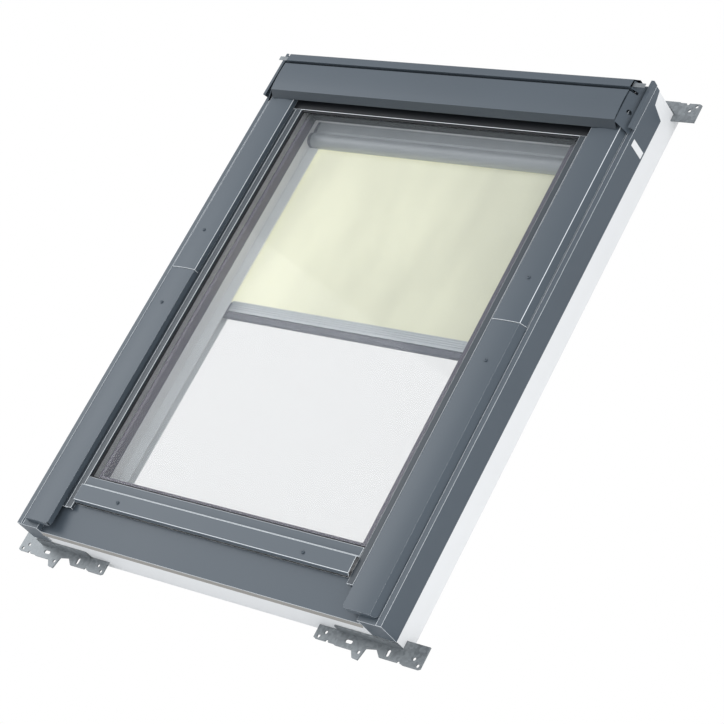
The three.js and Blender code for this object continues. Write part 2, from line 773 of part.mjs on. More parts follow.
function sashHingePlate() {
  const plate = block(
    sashOuter - fitGap - hingePlateThickness, sashOuter - fitGap,
    pivotOffset - hingePlateHalfLength + cutOverrun, pivotOffset + hingePlateHalfLength - cutOverrun,
    pivotHeight - hingeTrackRadius - hingeTrackWidth, hingeSashPlateTop,
  );
  const runner = alongX(
    arcBand(pivotOffset, pivotHeight, hingeTrackRadius, hingeTrackWidth, runnerStartAngle, runnerEndAngle, 24),
    sashOuter - fitGap * 2,
    frameInner + hingePlateThickness - sheetGauge - runnerStandoff,
  );
  return join(plate, runner);
}
piece("hinge_plate_sash_right", sashHingePlate(), zinc, sash);
piece("hinge_plate_sash_left", mirrorX(sashHingePlate()), zinc, sash);

// Control bar on the room side of the sash top, and the ventilation flap that it works.
const barAxisY = daylightTop + barDepth + barClearance;
const barAxisZ = sashUnderside - barClearance - barHeight / 2;
const barPlug = barHeight / 2;
const controlBarSection = roundedRectangle(
  barAxisY - barDepth + barPlug, barAxisY + barPlug,
  barAxisZ - barPlug, barAxisZ + barPlug,
  barPlug * 0.9,
);
function drillX(fromX, toX, y, z, radius) {
  const drill = new THREE.CylinderGeometry(radius, radius, toX - fromX, 16);
  drill.rotateZ(Math.PI / 2);
  drill.translate((fromX + toX) / 2, y, z);
  return solid(drill);
}
const controlBar = cut(
  alongX(controlBarSection, -barHalfLength, barHalfLength, 6),
  drillX(barHalfLength - barPinLength - fitGap * 2, barHalfLength + cutOverrun, barAxisY, barAxisZ,
    barPinRadius + fitGap),
  drillX(-barHalfLength - cutOverrun, -barHalfLength + barPinLength + fitGap * 2, barAxisY, barAxisZ,
    barPinRadius + fitGap),
);
piece("control_bar", controlBar, aluminium, sash);
function controlBarBracket() {
  const inner = barHalfLength + fitGap;
  const cheek = block(
    inner, inner + barBracketWidth,
    barAxisY - barHeight, barAxisY + barHeight / 2,
    barAxisZ - barHeight / 2, sashUnderside - fitGap,
  );
  const pin = drillX(barHalfLength - barPinLength, inner + barBracketWidth / 2, barAxisY, barAxisZ, barPinRadius);
  return join(cheek, pin);
}
piece("control_bar_bracket_right", controlBarBracket(), greyPlastic, sash);
piece("control_bar_bracket_left", mirrorX(controlBarBracket()), greyPlastic, sash);

const flapAxisZ = sashUnderside + flapHeight + gasketWidth;
const flapFace = sashTopEnd + fitGap;
const ventFlap = alongX(outline([
  [flapFace, flapAxisZ - flapHeight],
  [flapFace + flapThickness, flapAxisZ - flapHeight],
  ...arcPoints(flapFace + flapThickness / 2, flapAxisZ, flapThickness / 2, 0, 180, 6),
]), -flapHalfLength, flapHalfLength);
piece("vent_flap", ventFlap, greyPlastic, sash);

// Roller blind: guide rails down the sash, a cassette at its top, and a bar that slides.
const railOuter = daylightHalf - fitGap;
const railInner = railOuter - railWidth;
const railBottom = sashUnderside + fitGap;
const railEndBottom = daylightBottom + fitGap;
const cassetteTop = daylightTop - fitGap;
const cassetteLower = cassetteTop - cassetteDrop;
function guideRail() {
  const section = outline([
    [railInner, railBottom],
    [railOuter, railBottom],
    [railOuter, railBottom + railHeight],
    [railInner, railBottom + railHeight],
    [railInner, railBottom + railHeight - railWall],
    [railOuter - railWall, railBottom + railHeight - railWall],
    [railOuter - railWall, railBottom + railWall],
    [railInner, railBottom + railWall],
  ]);
  return alongY(section, railEndBottom, cassetteLower - fitGap);
}
piece("guide_rail_right", guideRail(), aluminium, sash);
piece("guide_rail_left", mirrorX(guideRail()), aluminium, sash);

const slotMiddle = railBottom + railHeight / 2;
const blindBarHalf = railInner - fitGap * 10;
const blindBarLow = slotMiddle - blindBarThickness / 2;
const blindBarHigh = slotMiddle + blindBarThickness / 2;
const ribStep = 4;
const ribDepth = 0.8;
function blindBarSection() {
  const points = [[barTopOffset - blindBarWidth, blindBarLow], [barTopOffset, blindBarLow], [barTopOffset, blindBarHigh]];
  for (let y = barTopOffset - ribStep / 2; y > barTopOffset - blindBarWidth + ribStep; y -= ribStep) {
    points.push([y, blindBarHigh], [y, blindBarHigh - ribDepth]);
    points.push([y - ribStep / 4, blindBarHigh - ribDepth], [y - ribStep / 4, blindBarHigh]);
  }
  points.push([barTopOffset - blindBarWidth, blindBarHigh]);
  return outline(points);
}
piece("blind_bar", alongX(blindBarSection(), -blindBarHalf, blindBarHalf), aluminium, sash);
const gripTop = barTopOffset - blindBarWidth - fitGap;
const gripSection = roundedRectangle(gripTop - blindGripWidth, gripTop, blindBarLow, blindBarHigh - ribDepth, ribStep / 2);
piece("blind_grip", alongX(gripSection, -blindBarHalf, blindBarHalf, 4), greyPlastic, sash);
const shoeGap = fitGap * 2;
const shoe = join(
  block(blindBarHalf + fitGap, blindBarHalf + fitGap + shoeEngagement,
    barTopOffset - blindBarWidth - blindGripWidth, barTopOffset - ribStep,
    railBottom + railWall + shoeGap, railBottom + railHeight - railWall - shoeGap),
);
piece("blind_shoe_right", shoe, greyPlastic, sash);
piece("blind_shoe_left", mirrorX(shoe), greyPlastic, sash);

const rollY = cassetteLower + cassetteRadius + fitGap * 4;
const rollZ = blindPlane + rollRadius - fabricThickness / 2;
const capOuter = daylightHalf - fitGap;
const capInner = capOuter - cassetteCapThickness;
const casingHalf = capInner - fitGap;
const backZ = rollZ + cassetteRadius - cassetteBackHeight;
const casingSection = foldedSection([
  ...arcPoints(rollY, rollZ, cassetteRadius, casingLipAngle, casingBackAngle, 14),
  [rollY + cassetteRadius * 1.1, backZ],
  [cassetteTop, backZ],
  [cassetteTop, railBottom],
], sheetGauge);
piece("cassette", alongX(casingSection, -casingHalf, casingHalf), aluminium, sash);
function cassetteCap() {
  const shape = new THREE.Shape();
  shape.moveTo(cassetteTop, railBottom);
  shape.lineTo(cassetteTop, backZ);
  shape.lineTo(rollY + cassetteRadius * 1.1, backZ);
  const backAngle = THREE.MathUtils.degToRad(casingBackAngle);
  shape.absarc(rollY, rollZ, cassetteRadius, backAngle, THREE.MathUtils.degToRad(casingLipAngle), false);
  shape.lineTo(rollY - cassetteRadius * 0.4, railBottom);
  const plate = alongX(shape, capInner, capOuter, 14);
  const pin = drillX(casingHalf - axlePinLength, capInner + fitGap, rollY, rollZ, axlePinRadius);
  return join(plate, pin);
}
piece("cassette_cap_right", cassetteCap(), greyPlastic, sash);
piece("cassette_cap_left", mirrorX(cassetteCap()), greyPlastic, sash);

const rollerHalf = casingHalf - fitGap;
const fabricHalf = railInner + fabricEdgeInRail;
function ring(outerRadius, innerRadius, half) {
  const shape = new THREE.Shape();
  shape.absarc(rollY, rollZ, outerRadius, 0, Math.PI * 2);
  const bore = new THREE.Path();
  bore.absarc(rollY, rollZ, innerRadius, 0, Math.PI * 2);
  shape.holes.push(bore);
  return alongX(shape, -half, half, 24);
}
piece("roller_tube", ring(rollerRadius, rollerRadius - rollerWall, rollerHalf), aluminium, sash);
piece("fabric_roll", ring(rollRadius, rollerRadius + fitGap, fabricHalf), cloth, sash);
const fabricBody = block(
  -fabricHalf, fabricHalf,
  barTopOffset + fitGap, rollY - rollRadius * 0.6,
  blindPlane - fabricThickness * 1.2, blindPlane - fabricThickness * 0.2,
);
piece("blind_fabric", fabricBody, cloth, sash);

export default window;
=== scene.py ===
# %% [markdown]
# # A roof window with a roller blind
# The window is a white frame under blue-grey folded metal. A glazed sash turns in it, and a cream
# blind runs in rails behind the glass. This lesson loads the measured model, lights it like a
# catalogue picture, gives every surface a finish and adds the parts that are finer than the model.

# %% Load the measured model
import json
import math

import bmesh
import bpy
from mathutils import Matrix, Vector


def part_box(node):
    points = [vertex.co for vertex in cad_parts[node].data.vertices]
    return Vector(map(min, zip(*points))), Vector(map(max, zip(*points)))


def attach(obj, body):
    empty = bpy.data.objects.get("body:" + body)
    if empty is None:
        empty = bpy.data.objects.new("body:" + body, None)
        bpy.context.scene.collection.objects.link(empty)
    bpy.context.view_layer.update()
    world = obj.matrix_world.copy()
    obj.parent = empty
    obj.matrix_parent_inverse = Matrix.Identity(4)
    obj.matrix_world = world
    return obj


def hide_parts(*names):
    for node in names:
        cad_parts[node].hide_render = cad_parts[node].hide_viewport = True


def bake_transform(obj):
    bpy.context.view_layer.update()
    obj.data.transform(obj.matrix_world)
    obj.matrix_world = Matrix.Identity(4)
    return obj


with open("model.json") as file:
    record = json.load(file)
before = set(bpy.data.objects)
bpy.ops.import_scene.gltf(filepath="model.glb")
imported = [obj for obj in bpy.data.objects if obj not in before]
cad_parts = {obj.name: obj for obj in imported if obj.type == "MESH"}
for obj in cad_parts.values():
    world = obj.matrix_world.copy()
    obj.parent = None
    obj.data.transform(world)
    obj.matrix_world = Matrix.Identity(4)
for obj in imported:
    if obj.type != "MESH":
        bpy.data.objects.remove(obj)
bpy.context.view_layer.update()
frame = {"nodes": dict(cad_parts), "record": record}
bpy.ops.object.select_all(action="DESELECT")

# %% [markdown]
# ## The camera
# The picture was taken with a long lens, from above and to one side, and the window stands on a
# corner in it. Three angles describe that: how far round the camera stands, how high, and how much
# it is rolled. The window lies flat here, so the roll is large.

# %% Camera
IMAGE_SIDE = 724
FOCAL_IN_PIXELS = 2208.6
CAMERA_PLACE = Vector((2.3011, -1.2721, 2.4603))
CAMERA_TURN = math.radians(61.447)
CAMERA_HEIGHT = math.radians(43.599)
CAMERA_ROLL = math.radians(-41.022)
SENSOR = 36.0
CAMERA_REACH = 60


def camera_axes(turn, height, roll):
    """Right, up and back of a camera, as columns of a rotation."""
    level = math.cos(height)
    back = Vector((math.sin(turn) * level, -math.cos(turn) * level, math.sin(height)))
    side = (-back).cross(Vector((0, 0, 1))).normalized()
    rise = side.cross(-back)
    right = side * math.cos(roll) + rise * math.sin(roll)
    up = rise * math.cos(roll) - side * math.sin(roll)
    return Matrix((right, up, back)).transposed()


bpy.ops.object.camera_add(location=CAMERA_PLACE)
camera = bpy.context.object
camera.name = "camera"
camera.data.sensor_width = SENSOR
camera.data.lens = FOCAL_IN_PIXELS * SENSOR / IMAGE_SIDE
camera.rotation_mode = "QUATERNION"
camera.rotation_quaternion = camera_axes(CAMERA_TURN, CAMERA_HEIGHT, CAMERA_ROLL).to_quaternion()
camera.data.clip_end = CAMERA_REACH
bpy.context.scene.camera = camera
bpy.context.scene.view_settings.view_transform = "Standard"
print("lens:", round(camera.data.lens, 1), "mm")

# %% [markdown]
# ## Floor, sky and lamps
# The backdrop is plain white. Light Path tells the floor and the sky who is looking: the camera sees
# flat white, while the rays that shade things meet an ordinary pale floor and a soft blue-white sky. So
# the white costs the window no extra light. Two large soft lamps shape the metal: a key lamp from the
# left, and a side lamp that lifts the right side face and leaves no highlight of its own.

# %% Helper: a fresh node material
def new_material(name):
    made = bpy.data.materials.new(name)
    made.use_nodes = True
    tree = made.node_tree
    shader = tree.nodes["Principled BSDF"]
    return made, tree, shader


def seen_directly(tree):
    """1 for camera rays, also after they went through something clear, 0 for the light that shades things."""
    path = tree.nodes.new("ShaderNodeLightPath")
    either = tree.nodes.new("ShaderNodeMath")
    either.operation = "MAXIMUM"
    tree.links.new(path.outputs["Is Camera Ray"], either.inputs[0])
    tree.links.new(path.outputs["Is Transmission Ray"], either.inputs[1])
    return either.outputs[0]


def mix_by_viewer(tree, shaded, seen, output):
    """Show one shader to the rays that shade things and another to the camera."""
    mixer = tree.nodes.new("ShaderNodeMixShader")
    tree.links.new(seen_directly(tree), mixer.inputs[0])
    tree.links.new(shaded.outputs[0], mixer.inputs[1])
    tree.links.new(seen.outputs[0], mixer.inputs[2])
    tree.links.new(mixer.outputs[0], tree.nodes[output].inputs["Surface"])


# %% Floor
FLOOR_SIZE = 40.0
FLOOR_DROP = -0.0005
FLOOR_PALE = (0.8, 0.8, 0.8, 1)
FLOOR_ROUGHNESS = 0.9
bpy.ops.mesh.primitive_plane_add(size=FLOOR_SIZE, location=(0, 0, FLOOR_DROP))
floor = bpy.context.object
floor.name = "floor"
floor_paint, tree, shader = new_material("floor_white")
shader.inputs["Base Color"].default_value = FLOOR_PALE
shader.inputs["Roughness"].default_value = FLOOR_ROUGHNESS
glow = tree.nodes.new("ShaderNodeEmission")
glow.inputs["Strength"].default_value = 1.0
mix_by_viewer(tree, shader, glow, "Material Output")
floor.data.materials.append(floor_paint)

# %% Sky
SKY_LIGHT = 1.0
SKY_TINT = (0.93, 0.96, 1.0, 1)
world = bpy.data.worlds.new("studio")
bpy.context.scene.world = world
world.use_nodes = True
tree = world.node_tree
soft_sky = tree.nodes["Background"]
soft_sky.inputs["Color"].default_value = SKY_TINT
soft_sky.inputs["Strength"].default_value = SKY_LIGHT
white_sky = tree.nodes.new("ShaderNodeBackground")
white_sky.inputs["Color"].default_value = (1, 1, 1, 1)
mix_by_viewer(tree, soft_sky, white_sky, "World Output")


# %% Lamps
def soft_lamp(name, place, target, size, power):
    """A square lamp at a place, turned towards a target."""
    bpy.ops.object.light_add(type="AREA", location=place)
    lamp = bpy.context.object
    lamp.name = name
    lamp.data.shape = "SQUARE"
    lamp.data.size = size
    lamp.data.energy = power
    aim = Vector(place) - Vector(target)
    lamp.rotation_mode = "QUATERNION"
    lamp.rotation_quaternion = aim.to_track_quat("Z", "Y")
    return lamp


soft_lamp("key_lamp", place=(-2.2, 0.4, 2.2), target=(-0.2, 0.0, 0.0), size=1.6, power=26)
side_lamp = soft_lamp("side_lamp", place=(3.0, -0.6, 0.9), target=(0.3, 0.0, 0.05), size=1.8, power=20)
side_lamp.visible_glossy = False
print("lamps: 2, sky:", SKY_LIGHT)

# %% [markdown]
# ## Finishes
# A finish is more than a colour: paint has a little orange peel, zinc has crystals, cloth has
# threads. Each recipe starts from one base colour and adds a slow change of shade, a fine bump and
# an uneven gloss. All patterns read object coordinates in metres, so they stay at their real size.


# %% Helper: base colour, uneven shade, uneven gloss and bump
def coords(tree, scale=(1, 1, 1)):
    source = tree.nodes.new("ShaderNodeTexCoord")
    mapping = tree.nodes.new("ShaderNodeMapping")
    mapping.inputs["Scale"].default_value = scale
    tree.links.new(source.outputs["Object"], mapping.inputs["Vector"])
    return mapping.outputs["Vector"]


def noise(tree, vector, scale, detail=2.0):
    node = tree.nodes.new("ShaderNodeTexNoise")
    node.inputs["Scale"].default_value = scale
    node.inputs["Detail"].default_value = detail
    tree.links.new(vector, node.inputs["Vector"])
    return node.outputs["Fac"]


def ramp(tree, value, low_colour, high_colour, low_stop=0.35, high_stop=0.65):
    node = tree.nodes.new("ShaderNodeValToRGB")
    node.color_ramp.elements[0].position = low_stop
    node.color_ramp.elements[0].color = (*low_colour, 1)
    node.color_ramp.elements[1].position = high_stop
    node.color_ramp.elements[1].color = (*high_colour, 1)
    tree.links.new(value, node.inputs["Fac"])
    return node.outputs["Color"]


def span(tree, value, low_value, high_value):
    node = tree.nodes.new("ShaderNodeMapRange")
    node.inputs["To Min"].default_value = low_value
    node.inputs["To Max"].default_value = high_value
    tree.links.new(value, node.inputs["Value"])
    return node.outputs["Result"]


def bump(tree, shader, value, strength, depth):
    node = tree.nodes.new("ShaderNodeBump")
    node.inputs["Strength"].default_value = strength
    node.inputs["Distance"].default_value = depth
    tree.links.new(value, node.inputs["Height"])
    tree.links.new(node.outputs["Normal"], shader.inputs["Normal"])


def shade(colour, factor):
    return tuple(min(1.0, channel * factor) for channel in colour)


GLOSS_SPREAD = 0.15
GRAIN_STRENGTH = 0.25


def finish(name, colour, roughness, metallic, spread, patch, grain, grain_depth):
    """A finish with slow patches of shade, fine grain and uneven gloss."""
    made, tree, shader = new_material(name)
    place = coords(tree)
    patches = noise(tree, place, patch, 3.0)
    tint = ramp(tree, patches, shade(colour, 1 - spread), shade(colour, 1 + spread))
    tree.links.new(tint, shader.inputs["Base Color"])
    gloss = span(tree, patches, roughness * (1 - GLOSS_SPREAD), roughness * (1 + GLOSS_SPREAD))
    tree.links.new(gloss, shader.inputs["Roughness"])
    shader.inputs["Metallic"].default_value = metallic
    bump(tree, shader, noise(tree, place, grain), GRAIN_STRENGTH, grain_depth)
    return made


# %% Metal and plastic finishes
COAT_BLUE_GREY = (0.078, 0.097, 0.116)
COAT_DARK = (0.048, 0.059, 0.070)
# Near-black painted shade for the sash top cover, where the hood shadows it.
COAT_SHADED = (0.012, 0.014, 0.017)
PAINTED = {"patch": 5.0, "grain": 1400.0, "grain_depth": 0.00003}
BRUSHED = {"spread": 0.03, "patch": 12.0, "grain": 1800.0, "grain_depth": 0.00002}
cladding_coat = finish("cladding_coat", COAT_BLUE_GREY, 0.46, 0.1, spread=0.03, **PAINTED)
strip_coat = finish("strip_coat", COAT_DARK, 0.45, 0.1, spread=0.03, **PAINTED)
shaded_strip = finish("shaded_strip", COAT_SHADED, 0.5, 0.1, spread=0.03, **PAINTED)
white_coat = finish(
    "white_coat", (0.80, 0.80, 0.795), 0.5, 0.0, spread=0.01, patch=7.0, grain=500.0, grain_depth=0.00005,
)
satin_aluminium = finish("satin_aluminium", (0.58, 0.61, 0.625), 0.42, 0.45, **BRUSHED)
cassette_grey = finish("cassette_grey", (0.36, 0.38, 0.39), 0.4, 0.2, **BRUSHED)
# Painted light: the rail aluminium is made much lighter, for light that the sash keeps off the rails.
rail_aluminium_painted_light = finish("rail_aluminium_painted_light", (0.86, 0.88, 0.88), 0.4, 0.0, **BRUSHED)
spacer_aluminium = finish(
    "spacer_aluminium", (0.085, 0.075, 0.100), 0.45, 0.3, spread=0.04, patch=30.0, grain=1200.0,
    grain_depth=0.00002,
)
dark_plastic = finish(
    "dark_plastic", (0.115, 0.115, 0.150), 0.5, 0.0, spread=0.05, patch=20.0, grain=1500.0,
    grain_depth=0.00004,
)
seal_rubber = finish(
    "seal_rubber", (0.022, 0.023, 0.026), 0.75, 0.0, spread=0.1, patch=20.0, grain=700.0, grain_depth=0.00006,
)
drip_lip = finish(
    "drip_lip", (0.30, 0.285, 0.26), 0.5, 0.1, spread=0.05, patch=14.0, grain=1400.0, grain_depth=0.00003,
)
# Painted highlight: a lighter, glossier copy of the coat for the rounded folds.
painted_fold_highlight = finish(
    "painted_fold_highlight", (0.80, 0.83, 0.85), 0.35, 0.1, spread=0.02, patch=5.0, grain=1400.0, grain_depth=0.00001,
)
for coat in (cladding_coat, strip_coat):
    lacquer = coat.node_tree.nodes["Principled BSDF"].inputs
    lacquer["Specular IOR Level"].default_value = 0.35
    lacquer["Coat Weight"].default_value = 0.15
    lacquer["Coat Roughness"].default_value = 0.3


# %% Spacer: purple-grey, nearly black along its top, where the hood keeps the light away
SPACER_FADE_FROM = 0.360
SPACER_FADE_TO = 0.372
SPACER_DARK = (0.006, 0.006, 0.006)


def darken_above(material, from_y, to_y, dark):
    """Fade a finish to a dark colour between two places up the window."""
    tree = material.node_tree
    shader = tree.nodes["Principled BSDF"]
    split = tree.nodes.new("ShaderNodeSeparateXYZ")
    tree.links.new(coords(tree), split.inputs[0])
    fade = tree.nodes.new("ShaderNodeMapRange")
    fade.inputs["From Min"].default_value = from_y
    fade.inputs["From Max"].default_value = to_y
    tree.links.new(split.outputs["Y"], fade.inputs["Value"])
    mix = tree.nodes.new("ShaderNodeMix")
    mix.data_type = "RGBA"
    plain = shader.inputs["Base Color"].links[0].from_socket
    tree.links.new(fade.outputs["Result"], mix.inputs[0])
    tree.links.new(plain, mix.inputs[6])
    mix.inputs[7].default_value = (*dark, 1)
    tree.links.new(mix.outputs[2], shader.inputs["Base Color"])


darken_above(spacer_aluminium, SPACER_FADE_FROM, SPACER_FADE_TO, SPACER_DARK)


# %% Galvanised steel: zinc crystals
ZINC_CELLS = 210.0
ZINC_DARK = (0.20, 0.215, 0.225)
ZINC_LIGHT = (0.27, 0.29, 0.30)


def galvanised():
    made, tree, shader = new_material("galvanised_steel")
    place = coords(tree)
    cells = tree.nodes.new("ShaderNodeTexVoronoi")
    cells.inputs["Scale"].default_value = ZINC_CELLS
    tree.links.new(place, cells.inputs["Vector"])
    tint = ramp(tree, cells.outputs["Color"], ZINC_DARK, ZINC_LIGHT, 0.2, 0.8)
    tree.links.new(tint, shader.inputs["Base Color"])
    tree.links.new(span(tree, cells.outputs["Color"], 0.38, 0.55), shader.inputs["Roughness"])
    shader.inputs["Metallic"].default_value = 0.6
    bump(tree, shader, noise(tree, place, 600.0), 0.15, 0.00004)
    return made


zinc = galvanised()


# %% [markdown]
# ## Glass
# Real panes bend and reflect light, but through two of them the room would turn dark and noisy. A
# thin pane is better made as a nearly clear sheet with a hard gloss: it keeps a faint veil of its own
# colour, and its surface still mirrors the lamps.

# %% Glass finish
GLASS_VEIL = (0.33, 0.36, 0.38, 1)
GLASS_VEIL_SHARE = 0.09


def clear_glass():
    made, tree, shader = new_material("clear_glass")
    shader.inputs["Base Color"].default_value = GLASS_VEIL
    shader.inputs["Roughness"].default_value = 0.03
    shader.inputs["IOR"].default_value = 1.5
    shader.inputs["Alpha"].default_value = GLASS_VEIL_SHARE
    place = coords(tree)
    bump(tree, shader, noise(tree, place, 6.0, 1.0), 0.02, 0.0002)
    return made


glass = clear_glass()


# %% [markdown]
# ## Blind cloth
# The cloth is a close plain weave in cream. Two crossed wave patterns give the threads, and a slow
# noise, drawn out down the cloth, gives soft mottling to its tint and to its glow. Daylight also comes
# through a blind from behind, and the cloth is given a painted glow for it, a little, and more on its left.

# %% Cloth finish
CREAM = (0.93, 0.92, 0.68)
THREAD_SCALE = 90.0
THREAD_DEPTH = 0.00012
MOTTLE_SCALE = 11.0
MOTTLE_STRETCH = (1.0, 0.35, 1.0)
GLOW_HALF_WIDTH = 0.27
GLOW_LEFT = 0.46
GLOW_RIGHT = 0.12


def glow_across(tree):
    """Strength of the painted glow for daylight through the cloth, from its left edge to its right."""
    split = tree.nodes.new("ShaderNodeSeparateXYZ")
    tree.links.new(coords(tree), split.inputs[0])
    across = tree.nodes.new("ShaderNodeMapRange")
    across.inputs["From Min"].default_value = -GLOW_HALF_WIDTH
    across.inputs["From Max"].default_value = GLOW_HALF_WIDTH
    across.inputs["To Min"].default_value = GLOW_LEFT
    across.inputs["To Max"].default_value = GLOW_RIGHT
    tree.links.new(split.outputs["X"], across.inputs["Value"])
    return across.outputs["Result"]


def woven_cloth():
    made, tree, shader = new_material("cream_cloth")
    place = coords(tree)
    slow = noise(tree, coords(tree, MOTTLE_STRETCH), MOTTLE_SCALE, 3.0)
    tint = ramp(tree, slow, shade(CREAM, 0.88), shade(CREAM, 1.04), 0.3, 0.7)
    tree.links.new(tint, shader.inputs["Base Color"])
    waves = []
    for direction in ("X", "Y"):
        wave = tree.nodes.new("ShaderNodeTexWave")
        wave.bands_direction = direction
        wave.inputs["Scale"].default_value = THREAD_SCALE
        wave.inputs["Distortion"].default_value = 0.4
        tree.links.new(place, wave.inputs["Vector"])
        waves.append(wave.outputs["Fac"])
    weave = tree.nodes.new("ShaderNodeMath")
    weave.operation = "MULTIPLY"
    tree.links.new(waves[0], weave.inputs[0])
    tree.links.new(waves[1], weave.inputs[1])
    bump(tree, shader, weave.outputs[0], 0.35, THREAD_DEPTH)
    # Painted glow: the cloth emits its own tint, stronger on its left, for daylight from behind.
    tree.links.new(tint, shader.inputs["Emission Color"])
    tree.links.new(glow_across(tree), shader.inputs["Emission Strength"])
    shader.inputs["Roughness"].default_value = 0.85
    shader.inputs["Sheen Weight"].default_value = 0.25
    shader.inputs["Sheen Roughness"].default_value = 0.5
    return made


cream_cloth = woven_cloth()
print("finishes:", len(bpy.data.materials))

# %% [markdown]
# ## Finishes on the measured parts
# Each part of the model keeps its shape and only gets a finish. Most take the finish of their material
# slot. A few take one of their own, because the picture shows them darker or lighter than the rest;
# the sash top cover's near-black is painted shade, and the rails' light finish is partly painted light.

# %% Assign finishes
FINISHES = {
    "cladding": cladding_coat,
    "white_frame": white_coat,
    "galvanised": zinc,
    "rubber_seal": seal_rubber,
    "glass": glass,
    "aluminium": satin_aluminium,
    "grey_plastic": dark_plastic,
    "blind_cloth": cream_cloth,
}
OWN_FINISHES = {
    "glass_strip_right": strip_coat,
    "glass_strip_left": strip_coat,
    "glass_spacer": spacer_aluminium,
    # Painted shade: the sash top cover is near-black where the hood shadows it.
    "sash_top_cover": shaded_strip,
    "cassette": cassette_grey,
    "guide_rail_right": rail_aluminium_painted_light,
    "guide_rail_left": rail_aluminium_painted_light,
}
slot_of = {row["node"]: row["material_slot"] for row in frame["record"]["subparts"]}


def finish_of(node):
    """The finish of one part."""
    return OWN_FINISHES.get(node, FINISHES[slot_of[node]])


for node, thing in frame["nodes"].items():
    thing.data.materials.clear()
    thing.data.materials.append(finish_of(node))
print("finished nodes:", len(frame["nodes"]))

# %% [markdown]
# ## Folded metal with real bends
# A folded sheet never has knife edges: its bends have a radius, and that radius catches the thin
# white lines of the picture. Each folded part is copied from the model, its loose triangles are
# merged, flat areas become one face, and a bevel rounds every fold. The rounded faces get a painted
# highlight, a lighter finish than the flat ones, except on the hood. The copy then stands for the part.

# %% Helper: a finer copy of a measured part
FOLD_RADIUS = 0.0009
FLAT_ANGLE = math.radians(1.0)
FOLD_ANGLE = math.radians(25.0)
CROWN_ANGLE = math.radians(12.0)
MERGE_DISTANCE = 0.00001
FLAT_SLOT = 0
FOLD_SLOT = 1


def finer_copy(node):
    """Copy a measured part, round its folds and let the copy stand for it."""
    source = frame["nodes"][node]
    copy = bpy.data.objects.new(node + "_fine", source.data.copy())
    bpy.context.collection.objects.link(copy)
    bpy.ops.object.select_all(action="DESELECT")
    copy.select_set(True)
    bpy.context.view_layer.objects.active = copy
    bpy.ops.object.mode_set(mode="EDIT")
    bpy.ops.mesh.select_all(action="SELECT")
    bpy.ops.mesh.remove_doubles(threshold=MERGE_DISTANCE)
    bpy.ops.mesh.dissolve_limited(angle_limit=FLAT_ANGLE)
    bpy.ops.object.mode_set(mode="OBJECT")
    rounding = copy.modifiers.new("fold_radius", "BEVEL")
    rounding.width = FOLD_RADIUS
    rounding.segments = 2
    rounding.limit_method = "ANGLE"
    rounding.angle_limit = FOLD_ANGLE
    rounding.use_clamp_overlap = True
    copy.data.materials.clear()
    copy.data.materials.append(finish_of(node))
    copy.data.materials.append(painted_fold_highlight)
    # The rounded fold faces take the painted highlight, except on the hood.
    rounding.material = FLAT_SLOT if node.startswith("hood") else FOLD_SLOT
    bpy.ops.object.modifier_apply(modifier=rounding.name)
    bpy.ops.object.shade_smooth_by_angle(angle=CROWN_ANGLE)
    bodies = frame["record"]["behaviour"]["bodies"]
    body = next(name for name, members in bodies.items() if node in members)
    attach(copy, body)
    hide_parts(node)
    return copy


# %% Folded parts
FOLDED = [
    "side_cladding_right", "side_cladding_left", "bottom_cladding", "upper_cover_right", "upper_cover_left",
    "lower_cover_right", "lower_cover_left", "hood_panel", "hood_back_strip", "hood_side_bar_right",
    "hood_side_bar_left", "hood_end_right", "hood_end_left", "glass_strip_right", "glass_strip_left",
    "sash_bottom_cover", "sash_top_cover",
]
fine = {}
for node in FOLDED:
    fine[node] = finer_copy(node)

# %% Front edges: faces that look down the roof more than this get a finish of their own
FRONT_FACES = {"bottom_cladding": (drip_lip, 0.5), "hood_panel": (strip_coat, 0.4)}
for node, (front_finish, least) in FRONT_FACES.items():
    fine[node].data.materials.append(front_finish)
    last_slot = len(fine[node].data.materials) - 1
    for face in fine[node].data.polygons:
        if face.normal.y < -least:
            face.material_index = last_slot
print("folded parts:", len(fine), "faces:", sum(len(piece.data.polygons) for piece in fine.values()))

# %% [markdown]
# ## The cloth of the blind
# The cloth hangs between the roll and the bar. It is one sheet with fine columns
# across the window for its slight waves, and no rows between its two ends, so that it stays straight
# when the bar slides up. A small thickness makes it a closed sheet.

# %% Blind cloth
SMOOTH_ANGLE = math.radians(40)
cloth_low, cloth_high = (Vector(corner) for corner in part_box("blind_fabric"))
CLOTH_COLUMNS = 72
CLOTH_WAVE = 0.0009
CLOTH_WAVES = 5.5
CLOTH_WAVE_START = 0.6
CLOTH_THICKNESS = 0.0005
cloth_width = cloth_high.x - cloth_low.x
cloth_length = cloth_high.y - cloth_low.y
cloth_height = (cloth_low.z + cloth_high.z) / 2
bpy.ops.object.select_all(action="DESELECT")
bpy.ops.mesh.primitive_grid_add(
    x_subdivisions=CLOTH_COLUMNS, y_subdivisions=1, size=1,
    location=(0, (cloth_low.y + cloth_high.y) / 2, cloth_height),
)
cloth = bpy.context.object
cloth.name = "blind_cloth"
cloth.scale = (cloth_width, cloth_length, 1)
bpy.ops.object.transform_apply(location=True, rotation=True, scale=True)
for vertex in cloth.data.vertices:
    across = (vertex.co.x - cloth_low.x) / cloth_width
    envelope = math.sin(math.pi * across)
    wave = math.sin(2 * math.pi * CLOTH_WAVES * across + CLOTH_WAVE_START)
    vertex.co.z += CLOTH_WAVE * envelope * wave
thick = cloth.modifiers.new("thickness", "SOLIDIFY")
thick.thickness = CLOTH_THICKNESS
thick.offset = 0
bpy.ops.object.modifier_apply(modifier=thick.name)
bpy.ops.object.shade_smooth_by_angle(angle=SMOOTH_ANGLE)
cloth.data.materials.append(cream_cloth)
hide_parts("blind_fabric")
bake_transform(cloth)
print("cloth:", round(cloth_width, 3), "x", round(cloth_length, 3), "m")

